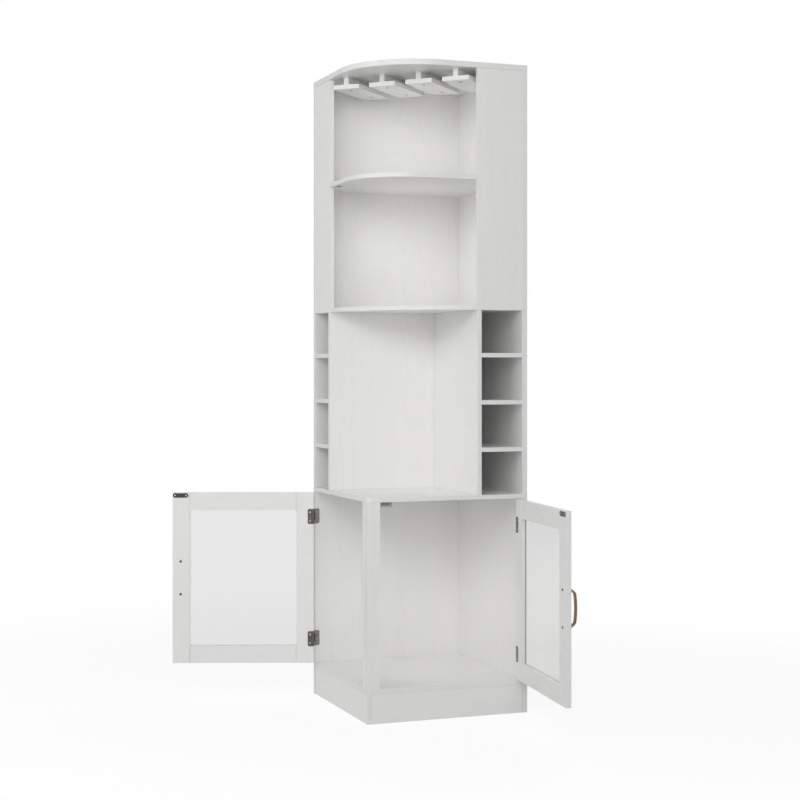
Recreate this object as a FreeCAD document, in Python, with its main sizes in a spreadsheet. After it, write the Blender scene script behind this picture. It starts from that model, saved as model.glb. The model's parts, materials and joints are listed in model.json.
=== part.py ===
import FreeCAD, Part
import Sketcher
import math
import os

V = FreeCAD.Vector

# Driving sizes of the cabinet, millimetres and degrees
SIZES = [
    ("side", 473.0),
    ("tall", 1800.0),
    ("board", 15.0),
    ("thin", 12.0),
    ("kick_tall", 78.0),
    ("kick_recess", 1.0),
    ("base_tall", 596.0),
    ("niche_tall", 510.0),
    ("cubby_wide", 123.0),
    ("shelf_setback", 1.0),
    ("end_recess", 2.0),
    ("post_wide", 38.0),
    ("foot_round", 6.0),
    ("counter_round", 14.0),
    ("top_round", 220.0),
    ("shelf_round", 160.0),
    ("floor_bow", 80.0),
    ("stem_slot", 32.0),
    ("rail_long", 205.0),
    ("rail_end_gap", 10.5),
    ("rail_wall_gap", 14.7),
    ("flange_thick", 12.0),
    ("web_thick", 15.0),
    ("web_tall", 21.0),
    ("rail_screw_inset", 37.0),
    ("rail_head_radius", 3.6),
    ("rail_head_tall", 2.2),
    ("rail_sink_radius", 4.4),
    ("rail_sink_deep", 4.0),
    ("rail_shank_radius", 1.9),
    ("rail_screw_bite", 9.0),
    ("door_thick", 15.0),
    ("frame_wide", 51.0),
    ("hinge_gap", 2.8),
    ("free_gap", 4.4),
    ("door_gap", 1.8),
    ("groove_front", 3.0),
    ("groove_deep", 7.0),
    ("panel_thick", 3.0),
    ("panel_play", 0.2),
    ("panel_side_play", 0.6),
    ("left_open_deg", 110.0),
    ("right_open_deg", 83.0),
    ("pin_forward", 3.2),
    ("pin_radius", 1.4),
    ("pin_play", 0.05),
    ("knuckle_radius", 3.2),
    ("knuckle_clear", 0.4),
    ("plate_thick", 1.0),
    ("leaf_tall", 44.0),
    ("leaf_wall_wide", 13.0),
    ("leaf_door_wide", 18.0),
    ("hinge_inset", 70.7),
    ("screw_spread", 12.7),
    ("screw_wall_inset", 7.0),
    ("screw_door_inset", 10.5),
    ("screw_head_radius", 2.4),
    ("screw_shank_radius", 1.2),
    ("screw_long", 9.0),
    ("hole_play", 0.1),
    ("screw_tip_gap", 0.5),
    ("handle_span", 96.0),
    ("handle_inset", 24.0),
    ("handle_rise", 22.5),
    ("handle_crown", 2.5),
    ("handle_thick", 5.5),
    ("handle_wide", 9.0),
    ("handle_stub", 6.0),
    ("handle_foot_radius", 6.0),
    ("handle_foot_thick", 3.0),
    ("bolt_radius", 2.0),
    ("bolt_head_radius", 3.6),
    ("bolt_head_tall", 1.8),
    ("bolt_bite", 6.0),
    ("strike_wide", 45.5),
    ("strike_tall", 13.0),
    ("strike_edge", 1.0),
    ("strike_drop", 2.2),
    ("strike_screws", 32.4),
    ("catch_wide", 40.0),
    ("catch_deep", 13.0),
    ("catch_tall", 14.0),
    ("catch_gap", 0.6),
    ("magnet_wide", 24.0),
    ("magnet_tall", 7.0),
    ("magnet_deep", 4.0),
    ("overrun", 2.0),
]

doc = FreeCAD.newDocument("corner_bar_cabinet")
sheet = doc.addObject("Spreadsheet::Sheet", "sizes")


class Q:
    """A size kept both as sheet expression text and as its present value."""

    def __init__(self, text, value):
        self.text = text
        self.value = value

    def __add__(self, other):
        return Q("(%s + %s)" % (self.text, text_of(other)), self.value + value_of(other))

    def __radd__(self, other):
        return Q("(%s + %s)" % (text_of(other), self.text), value_of(other) + self.value)

    def __sub__(self, other):
        return Q("(%s - %s)" % (self.text, text_of(other)), self.value - value_of(other))

    def __rsub__(self, other):
        return Q("(%s - %s)" % (text_of(other), self.text), value_of(other) - self.value)

    def __mul__(self, other):
        return Q("(%s * %s)" % (self.text, text_of(other)), self.value * value_of(other))

    def __rmul__(self, other):
        return Q("(%s * %s)" % (text_of(other), self.text), value_of(other) * self.value)

    def __truediv__(self, other):
        return Q("(%s / %s)" % (self.text, text_of(other)), self.value / value_of(other))

    def __neg__(self):
        return Q("(0 - %s)" % self.text, -self.value)


def text_of(item):
    return item.text if isinstance(item, Q) else str(item)


def value_of(item):
    return item.value if isinstance(item, Q) else item


def root_of(item):
    return Q("sqrt(%s)" % text_of(item), math.sqrt(value_of(item)))


size = {}
for row, (name, value) in enumerate(SIZES, start=1):
    sheet.set("A%d" % row, name)
    sheet.set("B%d" % row, str(value))
    sheet.setAlias("B%d" % row, name)
    size[name] = Q("sizes." + name, value)
doc.recompute()

ZERO = Q("0", 0.0)
nodes = []


def named(item):
    return size[item]


def bind(obj, prop, item):
    obj.setExpression(prop, text_of(item))


def keep(obj, label):
    obj.Label = label
    nodes.append(obj)
    return obj


def move(obj, x, y, z, turn=None):
    bind(obj, "Placement.Base.x", x)
    bind(obj, "Placement.Base.y", y)
    bind(obj, "Placement.Base.z", z)
    if turn is not None:
        bind(obj, "Placement.Rotation.Angle", turn)


def block(name, lo, hi):
    obj = doc.addObject("Part::Box", name)
    for prop, low, high in zip(("Length", "Width", "Height"), lo, hi):
        bind(obj, prop, high - low)
    move(obj, *lo)
    return obj


def rod(name, radius, start, length, axis):
    """A cylinder from start along +x, +y or +z."""
    obj = doc.addObject("Part::Cylinder", name)
    bind(obj, "Radius", radius)
    bind(obj, "Height", length)
    if axis == "x":
        obj.Placement = FreeCAD.Placement(V(), FreeCAD.Rotation(V(0, 1, 0), 90))
    if axis == "y":
        obj.Placement = FreeCAD.Placement(V(), FreeCAD.Rotation(V(1, 0, 0), -90))
    move(obj, *start)
    return obj


def fuse(name, pieces):
    obj = doc.addObject("Part::MultiFuse", name)
    obj.Shapes = pieces
    obj.Refine = True
    return obj


def gather(name, pieces):
    obj = doc.addObject("Part::Compound", name)
    obj.Links = pieces
    return obj


def cut(name, base, tools):
    tool = tools[0] if len(tools) == 1 else gather(name + "_tools", tools)
    obj = doc.addObject("Part::Cut", name)
    obj.Base = base
    obj.Tool = tool
    obj.Refine = True
    return obj


def bend(centre, radius, first, middle, last):
    """An arc over middle, always wound the same way."""
    full = 2 * math.pi
    a, m, b = [math.atan2(p.y - centre.y, p.x - centre.x) for p in (first, middle, last)]
    if (m - a) % full > (b - a) % full:
        a, b = b, a
    return Part.ArcOfCircle(Part.Circle(centre, V(0, 0, 1), radius), a, a + (b - a) % full)


class Corner:
    """A plan corner with its rounding, and the arc that leaves it where the side is bowed."""

    def __init__(self, x, y, rounding=None, arc=None):
        self.x = x
        self.y = y
        self.rounding = rounding
        self.arc = arc


class Arc:
    def __init__(self, radius, x, y):
        self.radius = radius
        self.x = x
        self.y = y


def outline(body, name, corners):
    """Closed sketch of the corners on the body's ground plane."""
    sketch = body.newObject("Sketcher::SketchObject", name)
    plane = [f for f in body.Origin.OriginFeatures if f.Name.startswith("XY_Plane")][0]
    sketch.AttachmentSupport = [(plane, "")]
    sketch.MapMode = "FlatFace"
    count = len(corners)
    pts = [V(c.x.value, c.y.value, 0) for c in corners]
    sides = []
    rounds = {}
    for i in range(count):
        if corners[i].rounding is None:
            continue
        r = corners[i].rounding.value
        before = (pts[i - 1] - pts[i]).normalize()
        after = (pts[(i + 1) % count] - pts[i]).normalize()
        rounds[i] = (pts[i] + before * r, pts[i] + after * r, pts[i] + (before + after) * r)
    for i in range(count):
        j = (i + 1) % count
        start = rounds[i][1] if i in rounds else pts[i]
        end = rounds[j][0] if j in rounds else pts[j]
        arc = corners[i].arc
        if arc:
            centre = V(arc.x.value, arc.y.value, 0)
            middle = (start + end - centre * 2).normalize() * arc.radius.value + centre
            sides.append(sketch.addGeometry(bend(centre, arc.radius.value, start, middle, end), False))
        else:
            sides.append(sketch.addGeometry(Part.LineSegment(start, end), False))
    ends = []
    other_end = {1: 2, 2: 1}
    for i in range(count):
        g = sketch.Geometry[sides[i]]
        goal = rounds[i][1] if i in rounds else pts[i]
        first = 1 if g.StartPoint.distanceToPoint(goal) < g.EndPoint.distanceToPoint(goal) else 2
        ends.append((first, other_end[first]))

    def hold(*args):
        return sketch.addConstraint(Sketcher.Constraint(*args))

    def drive(index, item):
        sketch.setExpression("Constraints[%d]" % index, text_of(item))

    for i in range(count):
        j = (i + 1) % count
        if corners[i].arc:
            radius = corners[i].arc.radius
            drive(hold("Radius", sides[i], radius.value), radius)
            for at, beside, end in ((i, i - 1, ends[i][0]), (j, j + 1, ends[i][1])):
                beside = pts[beside % count]
                level = abs(beside.y - pts[at].y) < abs(beside.x - pts[at].x)
                item = corners[at].x if level else corners[at].y
                kind = "DistanceX" if level else "DistanceY"
                drive(hold(kind, -1, 1, sides[i], end, item.value), item)
            continue
        level = abs(pts[i].y - pts[j].y) < abs(pts[i].x - pts[j].x)
        hold("Horizontal" if level else "Vertical", sides[i])
        kind = "DistanceY" if level else "DistanceX"
        item = corners[i].y if level else corners[i].x
        drive(hold(kind, -1, 1, sides[i], ends[i][0], item.value), item)
    for i in range(count):
        h = (i - 1) % count
        if i not in rounds:
            hold("Coincident", sides[h], ends[h][1], sides[i], ends[i][0])
            continue
        first, last, centre = rounds[i]
        r = corners[i].rounding
        middle = centre + (pts[i] - centre).normalize() * r.value
        arc = sketch.addGeometry(bend(centre, r.value, first, middle, last), False)
        g = sketch.Geometry[arc]
        a = 1 if g.StartPoint.distanceToPoint(first) < g.EndPoint.distanceToPoint(first) else 2
        hold("Tangent", sides[h], ends[h][1], arc, a)
        hold("Tangent", arc, other_end[a], sides[i], ends[i][0])
        drive(hold("Radius", arc, r.value), r)
    return sketch


def bow_outline(body, name, corners, bows):
    """Closed sketch through the corners; bows gives the sides that swell, with radius and crown point."""
    sketch = body.newObject("Sketcher::SketchObject", name)
    plane = [f for f in body.Origin.OriginFeatures if f.Name.startswith("XY_Plane")][0]
    sketch.AttachmentSupport = [(plane, "")]
    sketch.MapMode = "FlatFace"
    pts = [V(x.value, y.value, 0) for x, y in corners]
    sides = []
    ends = []
    for i, start in enumerate(pts):
        finish = pts[(i + 1) % len(pts)]
        if i in bows:
            radius, crown_x, crown_y = bows[i]
            crown = V(crown_x.value, crown_y.value, 0)
            centre = crown - V(radius.value, 0, 0)
            sides.append(sketch.addGeometry(bend(centre, radius.value, start, crown, finish), False))
        else:
            sides.append(sketch.addGeometry(Part.LineSegment(start, finish), False))
        g = sketch.Geometry[sides[-1]]
        first = 1 if g.StartPoint.distanceToPoint(start) < g.EndPoint.distanceToPoint(start) else 2
        ends.append((first, 3 - first))
    for i, (x, y) in enumerate(corners):
        h = i - 1
        sketch.addConstraint(Sketcher.Constraint("Coincident", sides[h], ends[h][1], sides[i], ends[i][0]))
        for kind, item in (("DistanceX", x), ("DistanceY", y)):
            held = sketch.addConstraint(Sketcher.Constraint(kind, -1, 1, sides[i], ends[i][0], item.value))
            sketch.setExpression("Constraints[%d]" % held, text_of(item))
        if i in bows:
            held = sketch.addConstraint(Sketcher.Constraint("Radius", sides[i], bows[i][0].value))
            sketch.setExpression("Constraints[%d]" % held, text_of(bows[i][0]))
    return sketch


def slab(name, corners, low, thick):
    """A board of the given plan outline; plan corners are global x and y."""
    shift = side + side
    local = []
    for c in corners:
        arc = c.arc and Arc(c.arc.radius, c.arc.x + shift, c.arc.y + shift)
        local.append(Corner(c.x + shift, c.y + shift, c.rounding, arc))
    body = doc.addObject("PartDesign::Body", name)
    sketch = outline(body, name + "_outline", local)
    pad = body.newObject("PartDesign::Pad", name + "_pad")
    pad.Profile = sketch
    bind(pad, "Length", thick)
    sketch.Visibility = False
    move(body, -shift, -shift, low)
    return body


side = named("side")
tall = named("tall")
board = named("board")
thin = named("thin")
over = named("overrun")
kick = named("kick_tall")
base = named("base_tall")

# Heights of the stacked sections
cupboard_floor = kick + board
niche_low = base + thin
hutch_low = niche_low + named("niche_tall")
hutch_high = tall - board
hutch_floor_top = hutch_low + thin
shelf_height_share = 0.53
shelf_low = hutch_floor_top + (hutch_high - hutch_floor_top) * shelf_height_share
inner = board + named("cubby_wide")
outer = inner + thin
front = -side

# Hinge lines and door measures
pin_side = named("hinge_gap") / 2
pin_away = board + pin_side
pin_front = front - named("pin_forward")
door_low = cupboard_floor + named("door_gap")
door_high = base - named("door_gap")
door_mid = (door_low + door_high) / 2
door_half = (door_high - door_low) / 2
opening = side - board - named("post_wide")
door_wide = opening - named("hinge_gap") - named("free_gap")
door_edge = pin_side
door_free = door_edge + door_wide
door_face = named("pin_forward")
door_back = door_face + named("door_thick")
plate = named("plate_thick")
shank = named("screw_shank_radius")
head = named("screw_head_radius")
pilot = shank + named("hole_play") / 2
head_hole = head + named("hole_play")
leaf_half = named("leaf_tall") / 2
hinge_spread = door_half - named("hinge_inset")
heights = [hinge_spread, -hinge_spread]

# Shares that shape the bow of the handle
bar_end_share = 0.767
knee_share = 0.214
knee_side_share = 0.38
elbow_share = 0.344


# Hinge frames: u runs from the pin to the free door edge, v runs inward
class Frame:
    def __init__(self, tag, x, y, turn, sign):
        self.tag = tag
        self.x = x
        self.y = y
        self.turn = turn
        self.sign = sign


shut_left = Q("(0 - 90)", -90.0)
shut_right = Q("180", 180.0)
LEFT = Frame("left", pin_front, -pin_away, shut_left, 1)
RIGHT = Frame("right", -pin_away, pin_front, shut_right, -1)
open_left = shut_left - named("left_open_deg")
open_right = shut_right + named("right_open_deg")


def hinge_block(name, frame, lo, hi):
    u0, v0, w0 = lo
    u1, v1, w1 = hi
    if frame.sign < 0:
        v0, v1 = -v1, -v0
    return block(name, (u0, v0, w0), (u1, v1, w1))


def hinge_rod(name, frame, radius, start, length, axis):
    u, v, w = start
    if frame.sign < 0:
        v = -v - length if axis == "y" else -v
    return rod(name, radius, (u, v, w), length, axis)


def shut(obj, frame):
    move(obj, frame.x, frame.y, door_mid, frame.turn)
    return obj


def swung(obj, frame):
    move(obj, frame.x, frame.y, door_mid, open_left if frame.sign > 0 else open_right)
    return obj


# Holes in the base walls for the hinge screws
def wall_pilots(frame):
    holes = []
    for i, w in enumerate(heights):
        for j, dw in enumerate((named("screw_spread"), -named("screw_spread"))):
            start = (-pin_side - named("screw_long"), door_face + named("screw_wall_inset"), w + dw)
            holes.append(hinge_rod("pilot_%s_%d%d" % (frame.tag, i, j), frame, pilot, start,
                                   named("screw_long") + over, "x"))
    group = gather("pilots_" + frame.tag, holes)
    return shut(group, frame)


# Base section
left_raw = block("base_wall_left_raw", (front, -board, ZERO), (ZERO, ZERO, base))
keep(cut("base_wall_left_cut", left_raw, [wall_pilots(LEFT)]), "base_wall_left")
right_raw = block("base_wall_right_raw", (-board, front, ZERO), (ZERO, -board, base))
keep(cut("base_wall_right_cut", right_raw, [wall_pilots(RIGHT)]), "base_wall_right")

keep(slab("base_floor_body", [
    Corner(-board, -board),
    Corner(front, -board),
    Corner(front, front, named("foot_round")),
    Corner(-board, front),
], kick, board), "base_floor")

kick_face = front + named("kick_recess")
kick_back = kick_face + thin
keep(block("kick_left_box", (kick_face, kick_face, ZERO), (kick_back, -board, kick)), "kick_left")
keep(block("kick_right_box", (kick_back, kick_face, ZERO), (-board, kick_back, kick)), "kick_right")

post_back = front + board
post_end = front + named("post_wide")
keep(block("post_front_box", (front, front, cupboard_floor), (post_end, post_back, base)), "post_front")
keep(block("post_side_box", (front, post_back, cupboard_floor), (post_back, post_end, base)), "post_side")

keep(slab("counter_body", [
    Corner(ZERO, ZERO),
    Corner(front, ZERO),
    Corner(front, front, named("counter_round")),
    Corner(ZERO, front),
], base, thin), "counter")

# Niche section with bottle cubbies
keep(block("niche_wall_left_box", (front, -board, niche_low), (ZERO, ZERO, hutch_low)), "niche_wall_left")
keep(block("niche_wall_right_box", (-board, front, niche_low), (ZERO, -board, hutch_low)),
     "niche_wall_right")
keep(block("divider_left_box", (front, -outer, niche_low), (-board, -inner, hutch_low)), "divider_left")
keep(block("divider_right_box", (-outer, front, niche_low), (-inner, -outer, hutch_low)),
     "divider_right")
cubby_face = front + named("shelf_setback")
cubby_step = (named("niche_tall") - 3 * thin) / 4
for i in range(3):
    low = niche_low + (i + 1) * cubby_step + i * thin
    keep(block("cubby_left_%d_box" % (i + 1), (cubby_face, -inner, low), (-board, -board, low + thin)),
         "cubby_shelf_left_%d" % (i + 1))
    keep(block("cubby_right_%d_box" % (i + 1), (-inner, cubby_face, low), (-board, -outer, low + thin)),
         "cubby_shelf_right_%d" % (i + 1))

# Hutch section
keep(block("hutch_wall_left_box", (front, -board, hutch_low), (ZERO, ZERO, hutch_high)),
     "hutch_wall_left")
keep(block("hutch_wall_right_box", (-board, front, hutch_low), (ZERO, -board, hutch_high)),
     "hutch_wall_right")
end_face = front + named("end_recess")
end_back = end_face + thin
keep(block("end_panel_left_box", (end_face, -outer, hutch_low), (end_back, -board, hutch_high)),
     "end_panel_left")
keep(block("end_panel_right_box", (-outer, end_face, hutch_low), (-board, end_back, hutch_high)),
     "end_panel_right")

# Bowed hutch floor between the end panels
diagonal = root_of(Q("2", 2.0))
bow = named("floor_bow")
reach = -outer - end_face
half_chord = reach / diagonal
bow_radius = (half_chord * half_chord + bow * bow) / (2 * bow)
bow_centre = -outer - reach / 2 + (bow_radius - bow) / diagonal
keep(slab("hutch_floor_body", [
    Corner(-board, -board),
    Corner(end_back, -board),
    Corner(end_back, -outer),
    Corner(end_face, -outer, arc=Arc(bow_radius, bow_centre, bow_centre)),
    Corner(-outer, end_face),
    Corner(-outer, end_back),
    Corner(-board, end_back),
], hutch_low, thin), "hutch_floor")

keep(slab("hutch_shelf_body", [
    Corner(-board, -board),
    Corner(end_back, -board),
    Corner(end_back, -outer),
    Corner(end_face, -outer),
    Corner(end_face, end_face, named("shelf_round")),
    Corner(-outer, end_face),
    Corner(-outer, end_back),
    Corner(-board, end_back),
], shelf_low, thin), "hutch_shelf")

# Four rails fill the diagonal span between the end panels, a stem slot apart
rail_low = hutch_high - named("web_tall") - named("flange_thick")
rail_span_half = (-end_back - outer) / diagonal - named("rail_end_gap")
flange_wide = (2 * rail_span_half - 3 * named("stem_slot")) / 4
rail_pitch = flange_wide + named("stem_slot")
rail_back = rail_span_half + (board + named("rail_wall_gap")) * diagonal
rail_reach = rail_back + named("rail_long")
rail_spot_shares = [-1.5, -0.5, 0.5, 1.5]
screw_runs = [named("rail_screw_inset"), named("rail_long") - named("rail_screw_inset")]
rail_turn = Q("45", 45.0)
head_low = rail_low + named("rail_sink_deep") - named("rail_head_tall")


def rail_place(spot):
    s = rail_pitch * spot
    return (s - rail_reach) / diagonal, (-s - rail_reach) / diagonal


top_holes = []
rail_screws = []
for i, spot in enumerate(rail_spot_shares):
    px, py = rail_place(spot)
    for j, run in enumerate(screw_runs):
        x = px + run / diagonal
        y = py + run / diagonal
        top_holes.append(rod("top_hole_%d%d" % (i, j), named("rail_shank_radius") + named("hole_play") / 2,
                             (x, y, hutch_high - over), over + named("rail_screw_bite"), "z"))
        stem = rod("rail_stem_%d%d" % (i, j), named("rail_shank_radius"), (x, y, head_low),
                   hutch_high + named("rail_screw_bite") - head_low, "z")
        cap = rod("rail_cap_%d%d" % (i, j), named("rail_head_radius"), (x, y, head_low),
                  named("rail_head_tall"), "z")
        rail_screws.append(fuse("rail_screw_%d%d" % (i, j), [cap, stem]))
top_body = slab("top_body", [
    Corner(ZERO, ZERO),
    Corner(front, ZERO),
    Corner(front, front, named("top_round")),
    Corner(ZERO, front),
], hutch_high, board)
keep(cut("top_cut", top_body, top_holes), "top_panel")

# Four stemware rails of T section, set on the diagonal
for i, spot in enumerate(rail_spot_shares):
    half = flange_wide / 2
    half_web = named("web_thick") / 2
    flange = block("flange_%d" % i, (ZERO, -half, ZERO), (named("rail_long"), half, named("flange_thick")))
    web = block("web_%d" % i, (ZERO, -half_web, named("flange_thick")),
                (named("rail_long"), half_web, named("flange_thick") + named("web_tall")))
    tee = fuse("tee_%d" % i, [flange, web])
    holes = []
    for j, run in enumerate(screw_runs):
        holes.append(rod("tee_hole_%d%d" % (i, j), named("rail_shank_radius") + named("hole_play"),
                         (run, ZERO, -over),
                         named("flange_thick") + named("web_tall") + 2 * over, "z"))
        holes.append(rod("tee_sink_%d%d" % (i, j), named("rail_sink_radius"), (run, ZERO, -over),
                         over + named("rail_sink_deep"), "z"))
    rail = cut("rail_%d_cut" % (i + 1), tee, holes)
    px, py = rail_place(spot)
    move(rail, px, py, rail_low, rail_turn)
    keep(rail, "stem_rail_%d" % (i + 1))
keep(gather("rail_screws_all", rail_screws), "rail_screws")

# Hinges, catches and doors, once for each side
knuckle = named("knuckle_radius")
mid_knuckle_share = 0.56
mid_knuckle = named("leaf_tall") * mid_knuckle_share
end_knuckle = (named("leaf_tall") - mid_knuckle) / 2 - named("knuckle_clear")
plate_start = knuckle + named("knuckle_clear") + named("hole_play")
pin_bore = named("pin_radius") + named("pin_play")


def leaf_screw(name, frame, start, axis, back):
    """A flush screw whose head fills the plate and whose shank enters the board."""
    u, v, w = start
    if axis == "x":
        cap = hinge_rod(name + "_cap", frame, head, (u - plate, v, w), plate, "x")
        stem = hinge_rod(name + "_stem", frame, shank, (u - plate - named("screw_long") + back, v, w),
                         named("screw_long") - back + plate / 2, "x")
    else:
        cap = hinge_rod(name + "_cap", frame, head, (u, v - plate, w), plate, "y")
        stem = hinge_rod(name + "_stem", frame, shank, (u, v - plate - named("screw_long") + back, w),
                         named("screw_long") - back + plate / 2, "y")
    return fuse(name, [cap, stem])


tip = named("screw_tip_gap")
wall_screws = []
for frame in (LEFT, RIGHT):
    tag = frame.tag
    wall_leaves = []
    door_leaves = []
    door_screws = []
    for i, w in enumerate(heights):
        low = w - leaf_half
        high = w + leaf_half
        # Wall leaf with outer knuckles and the pin
        key = "wall_leaf_%s_%d" % (tag, i)
        pieces = [
            hinge_block(key + "_plate", frame, (-pin_side, plate_start, low),
                        (plate - pin_side, door_face + named("leaf_wall_wide"), high)),
            hinge_rod(key + "_pin", frame, named("pin_radius"), (ZERO, ZERO, low),
                      named("leaf_tall"), "z"),
        ]
        for j, start in enumerate((low, high - end_knuckle)):
            pieces.append(hinge_rod(key + "_barrel_%d" % j, frame, knuckle,
                                    (ZERO, ZERO, start), end_knuckle, "z"))
            pieces.append(hinge_block(key + "_tongue_%d" % j, frame, (-pin_side, ZERO, start),
                                      (plate - pin_side, plate_start, start + end_knuckle)))
        whole = fuse(key + "_whole", pieces)
        holes = []
        for j, dw in enumerate((named("screw_spread"), -named("screw_spread"))):
            v = door_face + named("screw_wall_inset")
            holes.append(hinge_rod(key + "_hole_%d" % j, frame, head_hole, (-pin_side - over, v, w + dw),
                                   plate + 2 * over, "x"))
            screw = leaf_screw(key + "_screw_%d" % j, frame, (plate - pin_side, v, w + dw), "x", tip)
            wall_screws.append(shut(screw, frame))
        wall_leaves.append(shut(cut(key, whole, holes), frame))

        # Door leaf wrapped round the hinge edge of the door
        key = "door_leaf_%s_%d" % (tag, i)
        mid_low = low + end_knuckle + named("knuckle_clear")
        pieces = [
            hinge_block(key + "_edge", frame, (pin_side - plate, plate_start, low),
                        (pin_side, door_back + plate, high)),
            hinge_block(key + "_face", frame, (pin_side - plate, door_back, low),
                        (pin_side - plate + named("leaf_door_wide"), door_back + plate, high)),
            hinge_rod(key + "_barrel", frame, knuckle, (ZERO, ZERO, mid_low), mid_knuckle, "z"),
            hinge_block(key + "_tongue", frame, (pin_side - plate, ZERO, mid_low),
                        (pin_side, plate_start, mid_low + mid_knuckle)),
        ]
        whole = fuse(key + "_whole", pieces)
        holes = [hinge_rod(key + "_bore", frame, pin_bore, (ZERO, ZERO, mid_low - over),
                           mid_knuckle + 2 * over, "z")]
        for j, dw in enumerate((named("screw_spread"), -named("screw_spread"))):
            u = door_edge + named("screw_door_inset")
            holes.append(hinge_rod(key + "_hole_%d" % j, frame, head_hole, (u, door_back - over, w + dw),
                                   plate + 2 * over, "y"))
            door_screws.append(leaf_screw(key + "_screw_%d" % j, frame,
                                          (u, door_back + plate, w + dw), "y", tip))
        door_leaves.append(cut(key, whole, holes))
    keep(gather("wall_leaves_" + tag, wall_leaves), "hinge_wall_leaves_" + tag)
    keep(swung(gather("door_leaves_" + tag, door_leaves), frame), "hinge_door_leaves_" + tag)

    # Door frame: full-height stiles, rails between them, grooved for the panel
    wide = named("frame_wide")
    low, high = -door_half, door_half
    groove_lo = door_face + named("groove_front")
    groove_hi = groove_lo + named("panel_thick") + named("panel_play")
    deep = named("groove_deep")
    hinge_stile = hinge_block("stile_hinge_raw_" + tag, frame, (door_edge, door_face, low),
                              (door_edge + wide, door_back, high))
    holes = [hinge_block("stile_hinge_groove_" + tag, frame,
                         (door_edge + wide - deep, groove_lo, low + wide - deep),
                         (door_edge + wide + over, groove_hi, high - wide + deep))]
    for i, w in enumerate(heights):
        for j, dw in enumerate((named("screw_spread"), -named("screw_spread"))):
            u = door_edge + named("screw_door_inset")
            holes.append(hinge_rod("stile_pilot_%s_%d%d" % (tag, i, j), frame, pilot,
                                   (u, door_back - named("screw_long"), w + dw),
                                   named("screw_long") + over, "y"))
    keep(swung(cut("stile_hinge_cut_" + tag, hinge_stile, holes), frame), "door_stile_hinge_" + tag)

    bolt_u = door_free - named("handle_inset")
    bolt_heights = [named("handle_span") / 2, -named("handle_span") / 2]
    strike_u1 = door_free - named("strike_edge")
    strike_u0 = strike_u1 - named("strike_wide")
    strike_mid_u = (strike_u0 + strike_u1) / 2
    strike_w1 = high - named("strike_drop")
    strike_w0 = strike_w1 - named("strike_tall")
    strike_mid_w = (strike_w0 + strike_w1) / 2
    strike_spots = [strike_mid_u - named("strike_screws") / 2, strike_mid_u + named("strike_screws") / 2]
    free_stile = hinge_block("stile_free_raw_" + tag, frame, (door_free - wide, door_face, low),
                             (door_free, door_back, high))
    holes = [hinge_block("stile_free_groove_" + tag, frame,
                         (door_free - wide - over, groove_lo, low + wide - deep),
                         (door_free - wide + deep, groove_hi, high - wide + deep))]
    for j, w in enumerate(bolt_heights):
        holes.append(hinge_rod("stile_bolt_%s_%d" % (tag, j), frame,
                               named("bolt_radius") + named("hole_play"),
                               (bolt_u, door_face - over, w), named("door_thick") + 2 * over, "y"))
    for j, u in enumerate(strike_spots):
        holes.append(hinge_rod("stile_strike_%s_%d" % (tag, j), frame, pilot,
                               (u, door_back - named("screw_long"), strike_mid_w),
                               named("screw_long") + over, "y"))
        door_screws.append(leaf_screw("strike_screw_%s_%d" % (tag, j), frame,
                                      (u, door_back + plate, strike_mid_w), "y", tip))
    keep(swung(cut("stile_free_cut_" + tag, free_stile, holes), frame), "door_stile_free_" + tag)

    rail_u0 = door_edge + wide
    rail_u1 = door_free - wide
    top_rail = hinge_block("rail_top_raw_" + tag, frame, (rail_u0, door_face, high - wide),
                           (rail_u1, door_back, high))
    groove = hinge_block("rail_top_groove_" + tag, frame, (rail_u0 - over, groove_lo, high - wide - over),
                         (rail_u1 + over, groove_hi, high - wide + deep))
    keep(swung(cut("rail_top_cut_" + tag, top_rail, [groove]), frame), "door_rail_top_" + tag)
    low_rail = hinge_block("rail_low_raw_" + tag, frame, (rail_u0, door_face, low),
                           (rail_u1, door_back, low + wide))
    groove = hinge_block("rail_low_groove_" + tag, frame, (rail_u0 - over, groove_lo, low + wide - deep),
                         (rail_u1 + over, groove_hi, low + wide + over))
    keep(swung(cut("rail_low_cut_" + tag, low_rail, [groove]), frame), "door_rail_low_" + tag)

    play = named("panel_side_play")
    pane = hinge_block("panel_raw_" + tag, frame,
                       (rail_u0 - deep + play, groove_lo, low + wide - deep + play),
                       (rail_u1 + deep - play, groove_lo + named("panel_thick"), high - wide + deep - play))
    keep(swung(gather("panel_set_" + tag, [pane]), frame), "door_panel_" + tag)

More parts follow.
